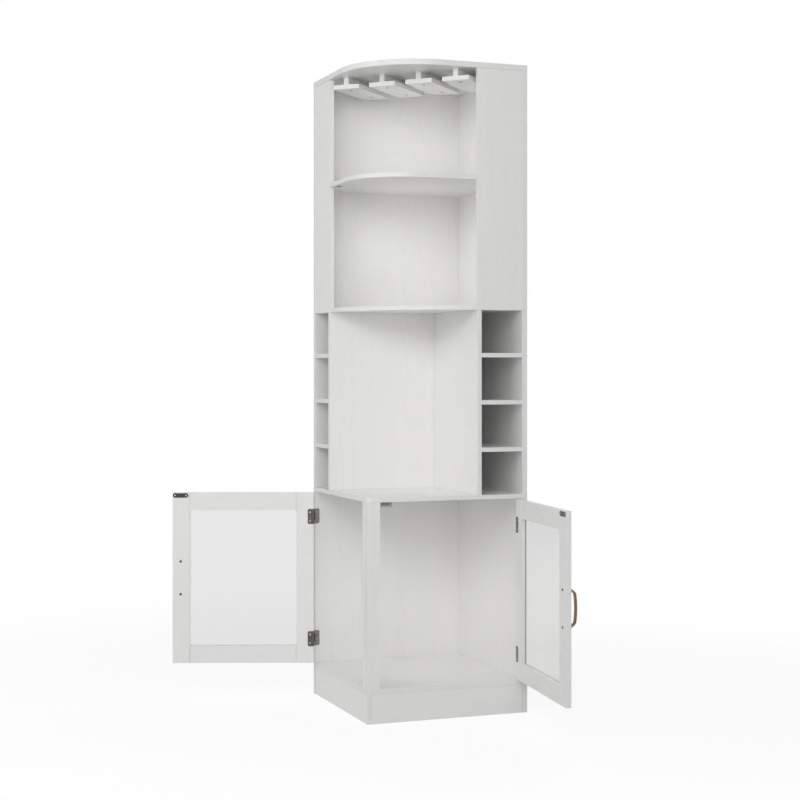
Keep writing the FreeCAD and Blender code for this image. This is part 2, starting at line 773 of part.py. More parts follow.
    # Bow handle on the outer face with two bolts from inside
    bar = named("handle_thick")
    bar_half = named("handle_wide") / 2
    feet = named("handle_foot_thick")
    reach_v = named("handle_rise")
    half_span = named("handle_span") / 2
    stub = named("handle_stub")
    bow_shape = doc.addObject("PartDesign::Body", "handle_bow_" + tag)
    far = reach_v + reach_v
    mid_w = named("handle_span")
    flat = reach_v - named("handle_crown")
    bar_end = half_span * bar_end_share
    knee_v = flat - (flat - stub) * knee_share
    knee_w = bar_end + (half_span + bar / 2 - bar_end) * knee_side_share
    swell = (bar_end * bar_end + named("handle_crown") * named("handle_crown")) / (named("handle_crown") * 2)
    side_points = [
        (feet / 2, half_span + bar / 2),
        (stub, half_span + bar / 2),
        (knee_v, knee_w),
        (flat, bar_end),
    ]
    inner_points = [
        (flat - bar, bar_end),
        (stub - bar * elbow_share, half_span - bar / 2),
        (feet / 2, half_span - bar / 2),
    ]
    corners = [(far + v, mid_w + w) for v, w in side_points]
    corners += [(far + v, mid_w - w) for v, w in reversed(side_points)]
    corners += [(far + v, mid_w - w) for v, w in reversed(inner_points)]
    corners += [(far + v, mid_w + w) for v, w in inner_points]
    sketch = bow_outline(bow_shape, "handle_outline_" + tag, corners, {
        len(side_points) - 1: (swell, far + reach_v, mid_w),
        2 * len(side_points) + len(inner_points) - 1: (swell - bar, far + reach_v - bar, mid_w),
    })
    pad = bow_shape.newObject("PartDesign::Pad", "handle_pad_" + tag)
    pad.Profile = sketch
    bind(pad, "Length", named("handle_wide"))
    sketch.Visibility = False
    # Local x of the bow points away from the door, local y points up
    if frame.sign > 0:
        turn = FreeCAD.Rotation(V(0, -1, 0), V(0, 0, 1), V(-1, 0, 0), "XYZ")
        bow_shape.Placement = FreeCAD.Placement(V(), turn)
        move(bow_shape, bolt_u + bar_half, far + door_face, -mid_w)
    else:
        turn = FreeCAD.Rotation(V(0, 1, 0), V(0, 0, 1), V(1, 0, 0), "XYZ")
        bow_shape.Placement = FreeCAD.Placement(V(), turn)
        move(bow_shape, bolt_u - bar_half, -far - door_face, -mid_w)
    pieces = [bow_shape]
    holes = []
    bolts = []
    for j, w in enumerate(bolt_heights):
        pieces.append(hinge_rod("handle_foot_%s_%d" % (tag, j), frame, named("handle_foot_radius"),
                                (bolt_u, door_face - feet, w), feet, "y"))
        holes.append(hinge_rod("handle_tap_%s_%d" % (tag, j), frame,
                               named("bolt_radius") + named("hole_play") / 2,
                               (bolt_u, door_face - named("bolt_bite"), w), named("bolt_bite") + over, "y"))
        stem = hinge_rod("bolt_stem_%s_%d" % (tag, j), frame, named("bolt_radius"),
                         (bolt_u, door_face - named("bolt_bite"), w),
                         named("bolt_bite") + named("door_thick") + named("bolt_head_tall") / 2, "y")
        cap = hinge_rod("bolt_cap_%s_%d" % (tag, j), frame, named("bolt_head_radius"),
                        (bolt_u, door_back, w), named("bolt_head_tall"), "y")
        bolts.append(fuse("bolt_%s_%d" % (tag, j), [stem, cap]))
    keep(swung(cut("handle_cut_" + tag, fuse("handle_fuse_" + tag, pieces), holes), frame), "handle_" + tag)
    keep(swung(gather("bolts_" + tag, bolts), frame), "handle_bolts_" + tag)

    # Strike plate with round ends
    end_r = named("strike_tall") / 2
    pieces = [
        hinge_block("strike_bar_" + tag, frame, (strike_u0 + end_r, door_back, strike_w0),
                    (strike_u1 - end_r, door_back + plate, strike_w1)),
        hinge_rod("strike_end_a_" + tag, frame, end_r,
                  (strike_u0 + end_r, door_back, strike_mid_w), plate, "y"),
        hinge_rod("strike_end_b_" + tag, frame, end_r,
                  (strike_u1 - end_r, door_back, strike_mid_w), plate, "y"),
    ]
    holes = [hinge_rod("strike_hole_%s_%d" % (tag, j), frame, head_hole,
                       (u, door_back - over, strike_mid_w), plate + 2 * over, "y")
             for j, u in enumerate(strike_spots)]
    keep(swung(cut("strike_cut_" + tag, fuse("strike_fuse_" + tag, pieces), holes), frame),
         "strike_plate_" + tag)
    keep(swung(gather("door_screws_" + tag + "_set", door_screws), frame), "door_screws_" + tag)

    # Magnetic catch under the counter beside the post
    catch_u1 = door_free + named("free_gap")
    catch_u0 = catch_u1 - named("catch_wide")
    catch_v0 = door_back + plate + named("catch_gap")
    catch_v1 = catch_v0 + named("catch_deep")
    catch_w1 = base - door_mid
    catch_w0 = catch_w1 - named("catch_tall")
    case = hinge_block("catch_raw_" + tag, frame, (catch_u0, catch_v0, catch_w0),
                       (catch_u1, catch_v1, catch_w1))
    mag_u = (catch_u0 + catch_u1) / 2
    mag_w = (catch_w0 + catch_w1) / 2
    mag_half_wide = named("magnet_wide") / 2
    mag_half_tall = named("magnet_tall") / 2
    mag_lo = (mag_u - mag_half_wide, catch_v0, mag_w - mag_half_tall)
    mag_hi = (mag_u + mag_half_wide, catch_v0 + named("magnet_deep"), mag_w + mag_half_tall)
    pocket = hinge_block("catch_pocket_" + tag, frame, (mag_lo[0], mag_lo[1] - over, mag_lo[2]), mag_hi)
    keep(shut(cut("catch_cut_" + tag, case, [pocket]), frame), "catch_case_" + tag)
    magnet = hinge_block("magnet_raw_" + tag, frame, mag_lo, mag_hi)
    keep(shut(gather("magnet_set_" + tag, [magnet]), frame), "catch_magnet_" + tag)
keep(gather("wall_screws_all", wall_screws), "hinge_wall_screws")

doc.recompute()

# Every object must have built, then each sub-part is written out
for obj in doc.Objects:
    if "Invalid" in obj.State or "Error" in obj.State:
        raise RuntimeError("not built: %s %s" % (obj.Label, obj.State))
os.makedirs("parts", exist_ok=True)
for obj in nodes:
    shape = obj.Shape
    if shape.isNull() or not shape.isValid():
        raise RuntimeError("bad shape: %s" % obj.Label)
    shape.exportStep("parts/%s.step" % obj.Label)
print("sub-parts written:", len(nodes))
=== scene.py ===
import json
import math

import bmesh
import bpy
from mathutils import Matrix, Vector


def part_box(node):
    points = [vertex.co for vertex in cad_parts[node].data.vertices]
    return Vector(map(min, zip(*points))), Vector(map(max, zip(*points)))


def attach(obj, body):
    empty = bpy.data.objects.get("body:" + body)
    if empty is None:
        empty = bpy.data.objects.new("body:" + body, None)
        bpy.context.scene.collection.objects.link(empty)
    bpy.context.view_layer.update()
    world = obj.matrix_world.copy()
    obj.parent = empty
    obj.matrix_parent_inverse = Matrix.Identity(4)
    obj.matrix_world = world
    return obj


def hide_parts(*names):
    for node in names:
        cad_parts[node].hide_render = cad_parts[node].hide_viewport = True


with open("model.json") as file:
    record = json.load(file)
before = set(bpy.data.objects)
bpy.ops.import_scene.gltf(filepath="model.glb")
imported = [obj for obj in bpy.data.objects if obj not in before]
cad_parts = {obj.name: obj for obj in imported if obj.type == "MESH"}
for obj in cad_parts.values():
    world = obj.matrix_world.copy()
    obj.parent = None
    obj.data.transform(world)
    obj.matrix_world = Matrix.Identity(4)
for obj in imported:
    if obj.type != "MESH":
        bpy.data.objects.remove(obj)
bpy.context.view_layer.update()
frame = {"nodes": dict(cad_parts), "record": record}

MM = 0.001
UP = Vector((0, 0, 1))
ALONG_X = Vector((1, 0, 0))
ALONG_Y = Vector((0, 1, 0))

# Door directions at rest, in plan: along the door to its free edge, and out of its inner face
LEFT_OPEN = math.radians(110)
RIGHT_OPEN = math.radians(83)
LEFT_ALONG = Vector((-math.sin(LEFT_OPEN), -math.cos(LEFT_OPEN), 0))
RIGHT_ALONG = Vector((-math.cos(RIGHT_OPEN), -math.sin(RIGHT_OPEN), 0))
LEFT_INWARD = Vector((-LEFT_ALONG.y, LEFT_ALONG.x, 0))
RIGHT_INWARD = Vector((RIGHT_ALONG.y, -RIGHT_ALONG.x, 0))
DIAGONAL = Vector((1, 1, 0)).normalized()

node_body = {}
for body, members in frame["record"]["behaviour"]["bodies"].items():
    for member in members:
        node_body[member] = body


# Shader groups

# Noise scales per metre, across, across and along the grain
FIGURE_SCALE = (5.5, 5.5, 0.62)
WOBBLE_SCALE = (95, 95, 5)
PORE_SCALE = (900, 900, 24)
GRAIN_CLOUD_SCALE = (55, 55, 2.0)
SCRATCH_SCALE = (2600, 2600, 90)
STAIN_SCALE = (150, 150, 150)
STIPPLE_SCALE = (1700, 1700, 1700)
STIPPLE_CLOUD_SCALE = (60, 60, 60)
GROWTH_RINGS = 42.0
RING_WANDER = 0.55
RING_SHARPNESS = 2.0
PORES_BY_RINGS = 0.7
PORES_IN_LINES = 0.45
PORES_IN_HEIGHT = 0.6


def group_io(name, outputs):
    """A shader group that reads a place on the surface and puts out the named values."""
    tree = bpy.data.node_groups.new(name, "ShaderNodeTree")
    tree.interface.new_socket("Place", in_out="INPUT", socket_type="NodeSocketVector")
    for label in outputs:
        tree.interface.new_socket(label, in_out="OUTPUT", socket_type="NodeSocketFloat")
    start = tree.nodes.new("NodeGroupInput")
    end = tree.nodes.new("NodeGroupOutput")
    return tree, start.outputs["Place"], end


def add_node(tree, kind, links=(), **settings):
    """A node with its properties set and its inputs linked or given a value."""
    node = tree.nodes.new(kind)
    for key, value in settings.items():
        setattr(node, key, value)
    for socket, source in links:
        if isinstance(source, bpy.types.NodeSocket):
            tree.links.new(source, node.inputs[socket])
        else:
            node.inputs[socket].default_value = source
    return node


def ramp(tree, source, low, high, to_low=0.0, to_high=1.0):
    """Carries low..high to the two given values, held at both ends."""
    node = add_node(tree, "ShaderNodeMapRange", [
        ("Value", source), ("From Min", low), ("From Max", high), ("To Min", to_low), ("To Max", to_high),
    ])
    node.clamp = True
    return node.outputs["Result"]


def maths(tree, operation, *values):
    return add_node(tree, "ShaderNodeMath", list(enumerate(values)), operation=operation).outputs[0]


def shared(tree, first, share, second):
    """The first value by its share plus the second by the rest."""
    rest = maths(tree, "MULTIPLY", second, 1 - share)
    return maths(tree, "MULTIPLY_ADD", first, share, rest)


def stretched_noise(tree, place, scale, detail, roughness=0.5):
    """Noise whose grain is drawn out by a scale that differs along the axes."""
    drawn = add_node(tree, "ShaderNodeMapping", [("Vector", place), ("Scale", scale)]).outputs[0]
    return add_node(tree, "ShaderNodeTexNoise", [
        ("Vector", drawn), ("Scale", 1.0), ("Detail", detail), ("Roughness", roughness),
    ]).outputs["Fac"]


def build_grain():
    """Embossed ash figure along local Z: growth lines with arches, pores beside them and soft clouding."""
    tree, place, end = group_io("embossed_grain", ["Lines", "Height", "Cloud"])
    figure = stretched_noise(tree, place, FIGURE_SCALE, 1.5, 0.4)
    wobble = stretched_noise(tree, place, WOBBLE_SCALE, 2.0)
    counted = maths(tree, "MULTIPLY", figure, GROWTH_RINGS)
    ringed = maths(tree, "FRACT", maths(tree, "MULTIPLY_ADD", wobble, RING_WANDER, counted))
    growth = maths(tree, "POWER", ramp(tree, ringed, 0.25, 0.96), RING_SHARPNESS)
    pores = ramp(tree, stretched_noise(tree, place, PORE_SCALE, 2.0, 0.6), 0.54, 0.7)
    weight = maths(tree, "MULTIPLY_ADD", growth, PORES_BY_RINGS, 1 - PORES_BY_RINGS)
    beside = maths(tree, "MULTIPLY", pores, weight)
    cloud = ramp(tree, stretched_noise(tree, place, GRAIN_CLOUD_SCALE, 3.0, 0.55), 0.3, 0.7)
    lines = shared(tree, beside, PORES_IN_LINES, growth)
    sunk = shared(tree, beside, PORES_IN_HEIGHT, growth)
    tree.links.new(lines, end.inputs["Lines"])
    tree.links.new(maths(tree, "SUBTRACT", 1.0, sunk), end.inputs["Height"])
    tree.links.new(cloud, end.inputs["Cloud"])
    return tree


def build_brushing():
    """Fine drawn scratches along local Z with a cloudy tarnish."""
    tree, place, end = group_io("drawn_metal", ["Scratch", "Tarnish"])
    scratch = stretched_noise(tree, place, SCRATCH_SCALE, 2.0)
    stain = stretched_noise(tree, place, STAIN_SCALE, 4.0, 0.62)
    tree.links.new(ramp(tree, scratch, 0.25, 0.75), end.inputs["Scratch"])
    tree.links.new(ramp(tree, stain, 0.36, 0.66), end.inputs["Tarnish"])
    return tree


def build_stipple():
    """Fine even stipple of a moulded or sprayed face."""
    tree, place, end = group_io("fine_stipple", ["Stipple", "Cloud"])
    dots = stretched_noise(tree, place, STIPPLE_SCALE, 2.0)
    cloud = stretched_noise(tree, place, STIPPLE_CLOUD_SCALE, 3.0)
    tree.links.new(ramp(tree, dots, 0.3, 0.7), end.inputs["Stipple"])
    tree.links.new(ramp(tree, cloud, 0.35, 0.65), end.inputs["Cloud"])
    return tree


GRAIN = build_grain()
BRUSHING = build_brushing()
STIPPLE = build_stipple()


# Materials


def new_material(name):
    material = bpy.data.materials.new(name)
    material.use_nodes = True
    tree = material.node_tree
    return material, tree, tree.nodes["Principled BSDF"]


def object_place(tree, along, shift=(0, 0, 0)):
    """Object coordinates turned so that the given direction becomes local Z, then shifted."""
    coordinates = tree.nodes.new("ShaderNodeTexCoord").outputs["Object"]
    turn = Vector(along).rotation_difference(UP).to_euler("XYZ")
    return add_node(tree, "ShaderNodeMapping", [
        ("Vector", coordinates), ("Location", shift), ("Rotation", turn),
    ]).outputs[0]


def use_group(tree, group, place):
    node = add_node(tree, "ShaderNodeGroup", node_tree=group)
    tree.links.new(place, node.inputs["Place"])
    return node


def two_tones(tree, factor, first, second):
    """A colour that goes from the first tone to the second with the factor."""
    node = add_node(tree, "ShaderNodeMix", data_type="RGBA")
    tree.links.new(factor, node.inputs["Factor"])
    for socket in node.inputs:
        if socket.type == "RGBA":
            socket.default_value = (*(first if socket.name == "A" else second), 1)
    return [socket for socket in node.outputs if socket.type == "RGBA"][0]


def emboss(tree, shader, height, strength, distance):
    bump = add_node(tree, "ShaderNodeBump", [
        ("Height", height), ("Strength", strength), ("Distance", distance),
    ])
    tree.links.new(bump.outputs["Normal"], shader.inputs["Normal"])


LAMINATE_LIGHT = (0.862, 0.856, 0.841)
LAMINATE_LINE = (0.820, 0.814, 0.798)
LAMINATE_ROUGH = (0.28, 0.42)
LINES_IN_TONE = 0.7
BAND_LIGHT = (0.832, 0.829, 0.820)
BAND_DARK = (0.812, 0.809, 0.800)
PANE_TONE = (0.79, 0.79, 0.79, 1)
PANE_IOR = 1.49
PANE_HAZE = (0.0, 0.03)
LACQUER = 0.6
# Strength and depth of the relief
GRAIN_RELIEF = (0.07, 0.1 * MM)
SCRATCH_RELIEF = (0.12, 0.05 * MM)
STIPPLE_DEPTH = 0.04 * MM


def laminate(name, along, shift):
    """White embossed woodgrain laminate with its grain along the given direction."""
    material, tree, shader = new_material(name)
    grain = use_group(tree, GRAIN, object_place(tree, along, shift))
    shade = shared(tree, grain.outputs["Lines"], LINES_IN_TONE, grain.outputs["Cloud"])
    tree.links.new(two_tones(tree, shade, LAMINATE_LIGHT, LAMINATE_LINE), shader.inputs["Base Color"])
    tree.links.new(ramp(tree, grain.outputs["Lines"], 0, 1, *LAMINATE_ROUGH), shader.inputs["Roughness"])
    emboss(tree, shader, grain.outputs["Height"], *GRAIN_RELIEF)
    return material


def drawn_metal(name, along, light, dark, rough):
    """Bare or plated metal with drawn scratches and a cloudy tarnish."""
    material, tree, shader = new_material(name)
    brushing = use_group(tree, BRUSHING, object_place(tree, along))
    tree.links.new(two_tones(tree, brushing.outputs["Tarnish"], light, dark), shader.inputs["Base Color"])
    tree.links.new(ramp(tree, brushing.outputs["Scratch"], 0, 1, *rough), shader.inputs["Roughness"])
    shader.inputs["Metallic"].default_value = 1.0
    emboss(tree, shader, brushing.outputs["Scratch"], *SCRATCH_RELIEF)
    return material


def stippled(name, light, dark, rough, relief=0.2):
    """Edge band, moulded plastic, sprayed steel, the cam casting darkened as painted shade, or bare board.
    """
    material, tree, shader = new_material(name)
    stipple = use_group(tree, STIPPLE, object_place(tree, UP))
    tree.links.new(two_tones(tree, stipple.outputs["Cloud"], light, dark), shader.inputs["Base Color"])
    tree.links.new(ramp(tree, stipple.outputs["Stipple"], 0, 1, *rough), shader.inputs["Roughness"])
    emboss(tree, shader, stipple.outputs["Stipple"], relief, STIPPLE_DEPTH)
    return material


def clear_sheet(name):
    """Clear panel with a breath of grey and very faint handling haze."""
    material, tree, shader = new_material(name)
    stipple = use_group(tree, STIPPLE, object_place(tree, UP))
    shader.inputs["Base Color"].default_value = PANE_TONE
    shader.inputs["Transmission Weight"].default_value = 1.0
    shader.inputs["IOR"].default_value = PANE_IOR
    tree.links.new(ramp(tree, stipple.outputs["Cloud"], 0, 1, *PANE_HAZE), shader.inputs["Roughness"])
    return material


# Each with a light tone, a dark tone and the least and most roughness
EDGE_BAND = stippled("edge_band", BAND_LIGHT, BAND_DARK, (0.36, 0.5))
# Painted light and shade: one pewter in two copies, a darker one for the shade and dark reflection on the
# left door's leaves and a lighter one for the leaves that catch more light
SHADED_PEWTER = drawn_metal("hinge_pewter", UP, (0.13, 0.118, 0.107), (0.08, 0.071, 0.065), (0.34, 0.5))
LIT_PEWTER = drawn_metal("hinge_lit_pewter", UP, (0.29, 0.267, 0.245), (0.185, 0.168, 0.153),
                            (0.34, 0.5))
BRASS = drawn_metal("handle_brass", UP, (0.25, 0.165, 0.08), (0.155, 0.098, 0.045), (0.3, 0.45))
ZINC = drawn_metal("screw_zinc", UP, (0.84, 0.83, 0.81), (0.68, 0.67, 0.655), (0.4, 0.55))
# Painted shade: a darker copy of the screw zinc for the rail screws, for the shade they sit in inside their
# sunk holes
SHADED_ZINC = drawn_metal("rail_screw_shaded_zinc", ALONG_X, (0.30, 0.295, 0.29), (0.2, 0.195, 0.19), (0.35, 0.5))
BLACK_STEEL = stippled("strike_black", (0.016, 0.016, 0.016), (0.011, 0.011, 0.0115), (0.08, 0.16), 0.04)
BLACK_STEEL.node_tree.nodes["Principled BSDF"].inputs["Coat Weight"].default_value = LACQUER
GREY_PLASTIC = stippled("catch_grey", (0.48, 0.48, 0.487), (0.42, 0.42, 0.427), (0.4, 0.55))
MAGNET = stippled("magnet_dark", (0.27, 0.27, 0.275), (0.22, 0.22, 0.225), (0.35, 0.5))
# Painted shade: the cam is near black and stands in for the shade round it in its drilled hole
SHADED_CAM = stippled("cam_painted_shade", (0.07, 0.07, 0.071), (0.05, 0.05, 0.051), (0.6, 0.8))
BARE_BOARD = stippled("bare_board", (0.19, 0.165, 0.135), (0.13, 0.11, 0.09), (0.75, 0.9))
PANE = clear_sheet("clear_pane")


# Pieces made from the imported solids

WELD = 0.002 * MM
FLAT_ANGLE = math.radians(0.4)
SMOOTH_ANGLE = math.radians(32)
CRISP_ANGLE = math.radians(40)


def soften_shading(work, eased_faces=()):
    """Smooth shading that stays flat on the broad faces beside an eased edge."""
    strips = set(eased_faces)
    for face in work.faces:
        face.smooth = True
    for edge in work.edges:
        beside = [face in strips for face in edge.link_faces]
        edge.smooth = all(beside) == any(beside) and edge.calc_face_angle(0) < SMOOTH_ANGLE


def place_piece(name, work, materials, body, node=None):
    """A new piece that rides on a body and, where a node is named, stands for it."""
    mesh = bpy.data.meshes.new(name)
    work.to_mesh(mesh)
    work.free()
    for material in materials:
        mesh.materials.append(material)
    piece = bpy.data.objects.new(name, mesh)
    bpy.context.scene.collection.objects.link(piece)
    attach(piece, body)
    if node:
        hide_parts(node)


def place_for(node, work, *materials):
    place_piece(node + "_dressed", work, materials, node_body[node], node)


def merged_copy(node):
    """The node's triangles joined into a closed solid with flat faces."""
    work = bmesh.new()
    work.from_mesh(frame["nodes"][node].data)
    for face in work.faces:
        face.material_index = 0
    bmesh.ops.remove_doubles(work, verts=work.verts, dist=WELD)
    bmesh.ops.dissolve_limit(work, angle_limit=FLAT_ANGLE, verts=work.verts, edges=work.edges)
    return work


def crisp_edges(work, limit=CRISP_ANGLE):
    return [edge for edge in work.edges if len(edge.link_faces) == 2 and edge.calc_face_angle(0) > limit]


def round_off(work, edges, offset, segments):
    """Bevels the edges to a round and returns the new faces."""
    return bmesh.ops.bevel(work, geom=edges, offset=offset, offset_type="OFFSET", segments=segments,
                           profile=0.5, affect="EDGES", clamp_overlap=True, material=-1)["faces"]


def ease(work, offset, segments=2):
    """Rounds every crisp edge and shades the rest flat."""
    soften_shading(work, round_off(work, crisp_edges(work), offset, segments))


def eased(node, material, offset, segments):
    work = merged_copy(node)
    ease(work, offset, segments)
    place_for(node, work, material)


# Boards

BOARD_EASE = 0.4 * MM
JOINT_LINE = (0.3 * MM, 0.3 * MM, 0.1 * MM)
# The one corner joint that stands open
OPEN_JOINT = {"niche_wall_right": (0.3 * MM, 1.0 * MM, 0.1 * MM)}
# Shift of the figure from board to board
GRAIN_STEP = (0.37, 0.23, 0.61)
# A face whose normal has more than this share along an axis counts as facing along it
FACING = 0.7
# Where the holes of a rail lie: half width of their row, and the distance they keep from ends and underside
HOLE_ROW = 5 * MM
RAIL_END = 5 * MM
RAIL_UNDERSIDE = 1 * MM
# Faces of a hole look down or sideways
HOLE_FACING = 0.5
SQUARE = Matrix.Identity(3)
LEFT_DOOR = Matrix((LEFT_ALONG, LEFT_INWARD, UP))
RIGHT_DOOR = Matrix((RIGHT_ALONG, RIGHT_INWARD, UP))
RACK = Matrix((DIAGONAL, Vector((-DIAGONAL.y, DIAGONAL.x, 0)), UP))

# Direction of the grain, the board's own axes and the boards
BOARD_SETS = [
    (UP, SQUARE, ["base_wall_left", "base_wall_right", "niche_wall_left", "niche_wall_right",
                  "hutch_wall_left", "hutch_wall_right", "divider_left", "divider_right",
                  "end_panel_left", "end_panel_right", "post_front", "post_side"]),
    (ALONG_X, SQUARE, ["kick_right", "counter", "base_floor", "hutch_floor", "hutch_shelf", "top_panel",
                       "cubby_shelf_left_1", "cubby_shelf_left_2", "cubby_shelf_left_3"]),
    (ALONG_Y, SQUARE, ["kick_left", "cubby_shelf_right_1", "cubby_shelf_right_2", "cubby_shelf_right_3"]),
    (DIAGONAL, RACK, ["stem_rail_1", "stem_rail_2", "stem_rail_3", "stem_rail_4"]),
    (UP, LEFT_DOOR, ["door_stile_hinge_left", "door_stile_free_left"]),
    (UP, RIGHT_DOOR, ["door_stile_hinge_right", "door_stile_free_right"]),
    (LEFT_ALONG, LEFT_DOOR, ["door_rail_top_left", "door_rail_low_left"]),
    (RIGHT_ALONG, RIGHT_DOOR, ["door_rail_top_right", "door_rail_low_right"]),
]


def extents(work, axes):
    """Lowest and highest corner of a solid along the given axes."""
    spots = [axes @ vertex.co for vertex in work.verts]
    low = Vector([min(spot[i] for spot in spots) for i in range(3)])
    high = Vector([max(spot[i] for spot in spots) for i in range(3)])
    return low, high


def thin_axis(work, axes):
    low, high = extents(work, axes)
    size = list(high - low)
    return size.index(min(size))


def draw_in(work, axes, amounts):
    """Takes a hair off the ends of an upright board, so that a thin shadow line shows where boards meet."""
    thin = thin_axis(work, axes)
    if thin == 2:
        return
    low, high = extents(work, axes)
    factors = [(length - 2 * amount) / length for length, amount in zip(high - low, amounts)]
    factors[thin] = 1
    space = Matrix.Translation((low + high) / -2) @ axes.to_4x4()
    bmesh.ops.scale(work, vec=factors, space=space, verts=work.verts)


def band_edges(work, axes):
    """Gives the edge band to the rim of a board."""
    thin = thin_axis(work, axes)
    for face in work.faces:
        facing = axes @ face.normal
        face.material_index = int(abs(facing[thin]) < FACING)


def band_rail_ends(work, axes):
    """Gives the edge band to the ends of a rail and leaves bare board in its drilled holes."""
    low, high = extents(work, axes)
    middle = (low + high) / 2
    for face in work.faces:
        place = axes @ face.calc_center_median()
        facing = axes @ face.normal
        inside = low.x + RAIL_END < place.x < high.x - RAIL_END and low.z + RAIL_UNDERSIDE < place.z
        drilled = inside and abs(place.y - middle.y) < HOLE_ROW and facing.z < HOLE_FACING
        face.material_index = 2 if drilled else int(abs(facing.x) > FACING)


boards = [(board, grain, axes) for grain, axes, names in BOARD_SETS for board in names]
for count, (board, grain, axes) in enumerate(boards, 1):
    work = merged_copy(board)
    draw_in(work, axes, OPEN_JOINT.get(board, JOINT_LINE))
    shift = [step * count for step in GRAIN_STEP]
    finishes = [laminate("laminate_" + board, grain, shift), EDGE_BAND]
    if axes is RACK:
        band_rail_ends(work, axes)
        finishes.append(BARE_BOARD)
    else:
        band_edges(work, axes)
    ease(work, BOARD_EASE)
    place_for(board, work, *finishes)


# Screws, bolts and cam fittings

SCREW_SIDES = 24
# Parts of the head's radius: field round the recess, half width of a slot, flat crown
FIELD = 0.6
SLOT = 0.12
CROWN = 0.82
# Narrowing of the recess at its bottom, domed part of the head's height, blunt tip in shank radii
RECESS_TAPER = 0.8
DOME = 0.3
TIP = 0.2
# Parts of the head's radius that tell the points of a packed screw apart
RIM_FROM = 0.9
SHANK_FROM = 0.15
SHANK_TO = 0.8
SMALL_RECESS = 0.7 * MM
LARGE_RECESS = 1.2 * MM


def skirt(work, edges, radius, drop, last_radius):
    """Draws a ring of edges down and out to the next radius."""
    grown = bmesh.ops.extrude_edge_only(work, edges=edges)["geom"]
    ring = [item for item in grown if isinstance(item, bmesh.types.BMVert)]
    factor = radius / last_radius
    bmesh.ops.scale(work, vec=(factor, factor, 1), verts=ring)
    bmesh.ops.translate(work, vec=(0, 0, -drop), verts=ring)
    return [edge for edge in work.edges if edge.verts[0] in ring and edge.verts[1] in ring]


def cross_head_screw(head, tall, shank, length, recess):
    """A screw pointing down from its crown at the origin, with a cross recess in the crown."""
    work = bmesh.new()
    half = FIELD * head
    slot = SLOT * head
    grid = bmesh.ops.create_grid(work, x_segments=3, y_segments=3, size=half)["verts"]
    for axis in range(2):
        inner = [vertex for vertex in grid if abs(vertex.co[axis]) < half / 2]
        factors = [1, 1, 1]
        factors[axis] = 3 * slot / half
        bmesh.ops.scale(work, vec=factors, verts=inner)
    outline = [edge for edge in work.edges if edge.is_boundary]
    cross = []
    for face in work.faces:
        middle = face.calc_center_median()
        if min(abs(middle.x), abs(middle.y)) < slot:
            cross.append(face)
    crown = bmesh.ops.create_circle(work, cap_ends=False, segments=SCREW_SIDES, radius=CROWN * head)["verts"]
    ring = [edge for edge in work.edges if edge.verts[0] in crown and edge.verts[1] in crown]
    bmesh.ops.bridge_loops(work, edges=outline + ring)
    sunk = bmesh.ops.extrude_face_region(work, geom=cross)["geom"]
    bmesh.ops.delete(work, geom=cross, context="FACES")
    low = [item for item in sunk if isinstance(item, bmesh.types.BMVert)]
    bmesh.ops.translate(work, vec=(0, 0, -recess), verts=low)
    bmesh.ops.scale(work, vec=(RECESS_TAPER, RECESS_TAPER, 1), verts=low)
    ring = skirt(work, ring, head, DOME * tall, CROWN * head)
    ring = skirt(work, ring, head, (1 - DOME) * tall, head)
    ring = skirt(work, ring, shank, 0.0, head)
    ring = skirt(work, ring, shank, length - tall - shank, shank)
    ring = skirt(work, ring, TIP * shank, shank, shank)
    bmesh.ops.edgeloop_fill(work, edges=ring)
    bmesh.ops.recalc_face_normals(work, faces=work.faces)
    soften_shading(work)
    mesh = bpy.data.meshes.new("screw_pattern")
    work.to_mesh(mesh)
    work.free()
    return mesh


def stamp(work, pattern, crown, facing):
    """Adds a copy of the pattern with its crown at a point and facing a direction."""
    first = len(work.verts)
    work.from_mesh(pattern)
    work.verts.ensure_lookup_table()
    turn = facing.to_track_quat("Z", "Y").to_matrix().to_4x4()
    bmesh.ops.transform(work, matrix=Matrix.Translation(crown) @ turn, verts=work.verts[first:])


def islands(work):
    """The separate solids of a node, each as a list of places."""
    seen = set()
    groups = []
    for seed in work.verts:
        if seed in seen:
            continue
        seen.add(seed)
        group = [seed]
        for vertex in group:
            for edge in vertex.link_edges:
                other = edge.other_vert(vertex)
                if other not in seen:
                    seen.add(other)
                    group.append(other)
        groups.append([vertex.co.copy() for vertex in group])
    return groups


def measure_screw(spots, axes):
    """Crown, facing, head and shank sizes of a packed screw that lies along one of the axes."""
    runs = [(max(s.dot(a) for s in spots) - min(s.dot(a) for s in spots), i) for i, a in enumerate(axes)]
    length, best = max(runs)
    facing = axes[best].copy()
    middle = sum(spots, Vector()) / len(spots)
    across = [(spot - middle) - facing * (spot - middle).dot(facing) for spot in spots]
    low = Vector([min(a[i] for a in across) for i in range(3)])
    high = Vector([max(a[i] for a in across) for i in range(3)])
    line = middle + (low + high) / 2
    radii = [((spot - line) - facing * (spot - line).dot(facing)).length for spot in spots]
    head = max(radii)
    heads = [spot for spot, radius in zip(spots, radii) if radius > RIM_FROM * head]
    shanks = [radius for radius in radii if SHANK_FROM * head < radius < SHANK_TO * head]
    if sum((spot - line).dot(facing) for spot in heads) / len(heads) < 0:
        facing = -facing
    reach = [(spot - line).dot(facing) for spot in heads]
    return line + facing * max(reach), facing, head, max(reach) - min(reach), max(shanks), length


def screws(node, axes, material, recess):
    """Cross-head screws in the places of the node's plain ones."""
    packed = bmesh.new()
    packed.from_mesh(frame["nodes"][node].data)
    bmesh.ops.remove_doubles(packed, verts=packed.verts, dist=WELD)
    work = bmesh.new()
    patterns = {}
    for spots in islands(packed):
        crown, facing, head, tall, shank, length = measure_screw(spots, axes)
        key = round(length / MM, 1)
        if key not in patterns:
            patterns[key] = cross_head_screw(head, tall, shank, length, recess)
        stamp(work, patterns[key], crown, facing)
    packed.free()
    place_for(node, work, material)


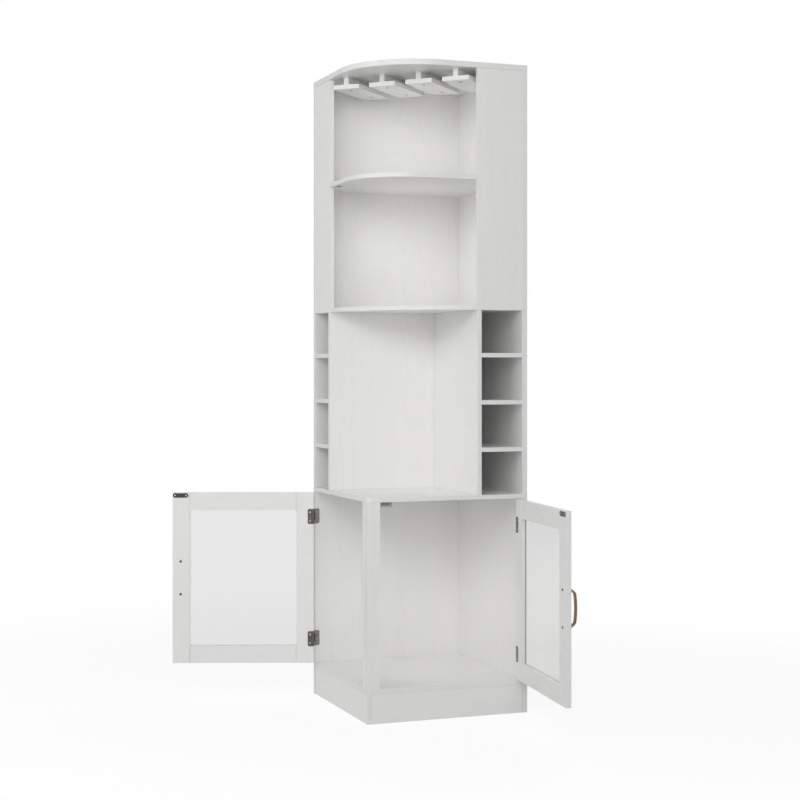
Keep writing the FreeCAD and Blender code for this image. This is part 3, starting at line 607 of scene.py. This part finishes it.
screws("rail_screws", [UP], SHADED_ZINC, LARGE_RECESS)
screws("hinge_wall_screws", [ALONG_X, ALONG_Y], ZINC, SMALL_RECESS)
screws("door_screws_left", [LEFT_INWARD], ZINC, SMALL_RECESS)
screws("door_screws_right", [RIGHT_INWARD], ZINC, SMALL_RECESS)
screws("handle_bolts_left", [LEFT_INWARD], BRASS, LARGE_RECESS)
screws("handle_bolts_right", [RIGHT_INWARD], BRASS, LARGE_RECESS)

# The cam in the underside of the shelf: place in plan, how far it stands proud, and its sizes
CAM_X = -0.450
CAM_Y = -0.170
CAM_PROUD = 0.7 * MM
CAM_SIZES = {"head": 7.4 * MM, "tall": 0.9 * MM, "shank": 6.6 * MM, "length": 11.0 * MM, "recess": 0.9 * MM}
shelf_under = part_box("hutch_shelf")[0][2]
disc = cross_head_screw(**CAM_SIZES)
cam = bmesh.new()
stamp(cam, disc, Vector((CAM_X, CAM_Y, shelf_under - CAM_PROUD)), -UP)
place_piece("shelf_cam", cam, [SHADED_CAM], "carcass")


# Hinges, handles, catches and panes

PIN_LEFT = Vector((-0.4762, -0.0164, 0))
PIN_RIGHT = Vector((-0.0164, -0.4762, 0))
LEAF_THICK = 1.0 * MM
LEAF_CORNER = 4.5 * MM
LEAF_STEPS = 6
LEAF_SLACK = 0.1 * MM
# Corners beyond this part of the leaf's reach are the outer ones
LEAF_OUTER = 0.85
LEAF_EASE = 0.2 * MM
SQUARE_CORNER = math.radians(80)
# Fittings of each door, with the rounding of their edges and its steps
FITTINGS = [
    ("door_panel_", PANE, 0.2 * MM, 2),
    ("handle_", BRASS, 1.4 * MM, 3),
    ("strike_plate_", BLACK_STEEL, 0.3 * MM, 2),
    ("catch_case_", GREY_PLASTIC, 0.5 * MM, 2),
    ("catch_magnet_", MAGNET, 0.2 * MM, 2),
]


def leaf(node, pin, material):
    """Hinge leaves with round plate corners and softened rims."""
    work = merged_copy(node)
    corners = []
    for edge in crisp_edges(work, SQUARE_CORNER):
        middle = (edge.verts[0].co + edge.verts[1].co) / 2
        away = Vector((middle.x, middle.y, 0)) - pin
        level = abs(edge.verts[0].co.z - edge.verts[1].co.z) < LEAF_SLACK
        if level and abs(edge.calc_length() - LEAF_THICK) < LEAF_SLACK:
            corners.append((away.length, edge))
    reach = max(distance for distance, edge in corners)
    outer = [edge for distance, edge in corners if distance > LEAF_OUTER * reach]
    round_off(work, outer, LEAF_CORNER, LEAF_STEPS)
    ease(work, LEAF_EASE)
    place_for(node, work, material)


# Painted shade: the leaves on the left door take the darker, shaded copy of the pewter, and the others take
# the lighter, lit copy
for side, pin, door_leaf in (("left", PIN_LEFT, SHADED_PEWTER), ("right", PIN_RIGHT, LIT_PEWTER)):
    leaf("hinge_wall_leaves_" + side, pin, LIT_PEWTER)
    leaf("hinge_door_leaves_" + side, pin, door_leaf)
    for fitting, material, rounding, steps in FITTINGS:
        eased(fitting + side, material, rounding, steps)


# Stage, light and camera

PHOTO_PIXELS = 800
FOCAL_PIXELS = 1654.73
HORIZON_PIXEL = 372.01
CAMERA_PLACE = (-1.95336, -4.65909, 0.94681)
CAMERA_TURN = math.radians(20.615)
SENSOR = 36.0
WHITE = (1, 1, 1, 1)
LAMP_WHITE = (0.985, 0.993, 1.0)
AMBIENT = 0.285
FLOOR_RADIUS = 14.0
FLOOR_DROP = 0.5 * MM
FLOOR_TONE = (0.82, 0.82, 0.82, 1)
# Distances between which the floor fades, and its shade and glow near and far
FADE_START = 0.7
FADE_END = 2.6
FLOOR_SHADE = (0.22, 0.004)
FLOOR_GLOW = (0.82, 1.0)
MIDDLE = (-0.25, -0.25, 0.95)
# Name, place, target, width, height, power, spread in degrees, and whether it shows in reflections
LAMPS = [
    ("diagonal_softbox", (-2.2, -2.2, 2.1), MIDDLE, 2.2, 0.9, 14.9, 180, False),
    ("front_softbox", (-1.1, -3.0, 2.1), MIDDLE, 2.2, 0.9, 13.0, 180, False),
    ("left_softbox", (-3.2, -0.2, 2.1), MIDDLE, 2.2, 0.9, 9.5, 180, False),
    ("left_front_softbox", (-2.8, -1.2, 1.3), (-0.2, -0.3, 0.6), 1.6, 1.2, 6.5, 180, True),
    ("high_softbox", (-1.7, -1.7, 3.6), (-0.25, -0.25, 0.75), 2.2, 1.2, 4.0, 180, True),
    ("camera_softbox", (-1.6, -4.2, 1.5), MIDDLE, 2.4, 1.6, 20.0, 180, True),
    ("rear_softbox", (2.2, 2.2, 1.9), (0, 0, 0.9), 2.2, 2.0, 50.0, 180, False),
    ("hutch_fill_high", (-0.28, -0.40, 1.60), (-0.12, -0.02, 1.58), 0.2, 0.2, 0.1, 140, False),
    ("hutch_fill_low", (-0.28, -0.40, 1.31), (-0.12, -0.02, 1.25), 0.2, 0.2, 0.092, 140, False),
    ("hutch_fill_side_high", (-0.42, -0.12, 1.60), (0, -0.28, 1.62), 0.15, 0.15, 0.075, 130, False),
    ("hutch_fill_side_low", (-0.42, -0.12, 1.33), (0, -0.25, 1.31), 0.15, 0.15, 0.085, 130, False),
    ("niche_fill", (-0.50, -0.50, 0.80), (-0.05, -0.05, 0.62), 0.35, 0.2, 0.06, 180, False),
    ("counter_fill", (-0.26, -0.26, 1.03), (-0.26, -0.26, 0.60), 0.25, 0.25, 0.03, 70, False),
    ("cupboard_fill", (-0.36, -0.36, 0.42), (-0.08, -0.08, 0.12), 0.3, 0.2, 0.13, 140, False),
]


def seen_directly(tree):
    """One for camera, mirror and see-through rays, zero for the light that falls on things."""
    path = tree.nodes.new("ShaderNodeLightPath")
    seen = maths(tree, "MAXIMUM", path.outputs["Is Camera Ray"], path.outputs["Is Glossy Ray"])
    return maths(tree, "MAXIMUM", seen, path.outputs["Is Transmission Ray"])


def pale_floor():
    """A white floor that takes a soft shadow near the part and fades into the background."""
    work = bmesh.new()
    bmesh.ops.create_circle(work, cap_ends=True, segments=64, radius=FLOOR_RADIUS)
    mesh = bpy.data.meshes.new("floor")
    work.to_mesh(mesh)
    work.free()
    floor = bpy.data.objects.new("floor", mesh)
    floor.location = (0, 0, -FLOOR_DROP)
    bpy.context.scene.collection.objects.link(floor)
    material, tree, shader = new_material("floor_white")
    tree.nodes.remove(shader)
    output = tree.nodes["Material Output"]
    plain = add_node(tree, "ShaderNodeBsdfDiffuse", [("Color", FLOOR_TONE)]).outputs[0]
    place = tree.nodes.new("ShaderNodeTexCoord").outputs["Object"]
    away = add_node(tree, "ShaderNodeVectorMath", [(0, place)], operation="LENGTH").outputs["Value"]
    fading = add_node(tree, "ShaderNodeMapRange", [
        ("Value", away), ("From Min", FADE_START), ("From Max", FADE_END),
    ], interpolation_type="SMOOTHSTEP").outputs["Result"]
    shade = ramp(tree, fading, 0, 1, *FLOOR_SHADE)
    shaded = add_node(tree, "ShaderNodeBsdfDiffuse", [("Color", shade)]).outputs[0]
    bright = ramp(tree, fading, 0, 1, *FLOOR_GLOW)
    glow = add_node(tree, "ShaderNodeEmission", [("Color", WHITE), ("Strength", bright)]).outputs[0]
    shown = add_node(tree, "ShaderNodeAddShader", [(0, shaded), (1, glow)]).outputs[0]
    mixed = add_node(tree, "ShaderNodeMixShader", [(0, seen_directly(tree)), (1, plain), (2, shown)])
    tree.links.new(mixed.outputs[0], output.inputs["Surface"])
    mesh.materials.append(material)


def studio_world():
    """White where it is seen, and a weaker light where it falls on things."""
    world = bpy.data.worlds.new("studio")
    world.use_nodes = True
    tree = world.node_tree
    background = tree.nodes["Background"]
    background.inputs["Color"].default_value = WHITE
    strength = ramp(tree, seen_directly(tree), 0, 1, AMBIENT, 1.0)
    tree.links.new(strength, background.inputs["Strength"])
    bpy.context.scene.world = world


def softbox(name, place, target, width, height, power, spread, mirrored):
    light = bpy.data.lights.new(name, "AREA")
    light.shape = "RECTANGLE"
    light.size = width
    light.size_y = height
    light.energy = power
    light.spread = math.radians(spread)
    light.color = LAMP_WHITE
    lamp = bpy.data.objects.new(name, light)
    lamp.location = place
    aim = Vector(target) - Vector(place)
    lamp.rotation_euler = aim.to_track_quat("-Z", "Y").to_euler()
    lamp.visible_camera = False
    lamp.visible_glossy = mirrored
    bpy.context.scene.collection.objects.link(lamp)


def photo_camera():
    camera = bpy.data.cameras.new("camera")
    camera.sensor_width = SENSOR
    camera.lens = FOCAL_PIXELS / PHOTO_PIXELS * SENSOR
    camera.shift_y = (HORIZON_PIXEL - PHOTO_PIXELS / 2) / PHOTO_PIXELS
    camera.clip_end = 100.0
    holder = bpy.data.objects.new("camera", camera)
    holder.location = CAMERA_PLACE
    holder.rotation_euler = (math.radians(90), 0, -CAMERA_TURN)
    bpy.context.scene.collection.objects.link(holder)
    bpy.context.scene.camera = holder


pale_floor()
studio_world()
for lamp in LAMPS:
    softbox(*lamp)
photo_camera()
bpy.context.scene.view_settings.view_transform = "Standard"
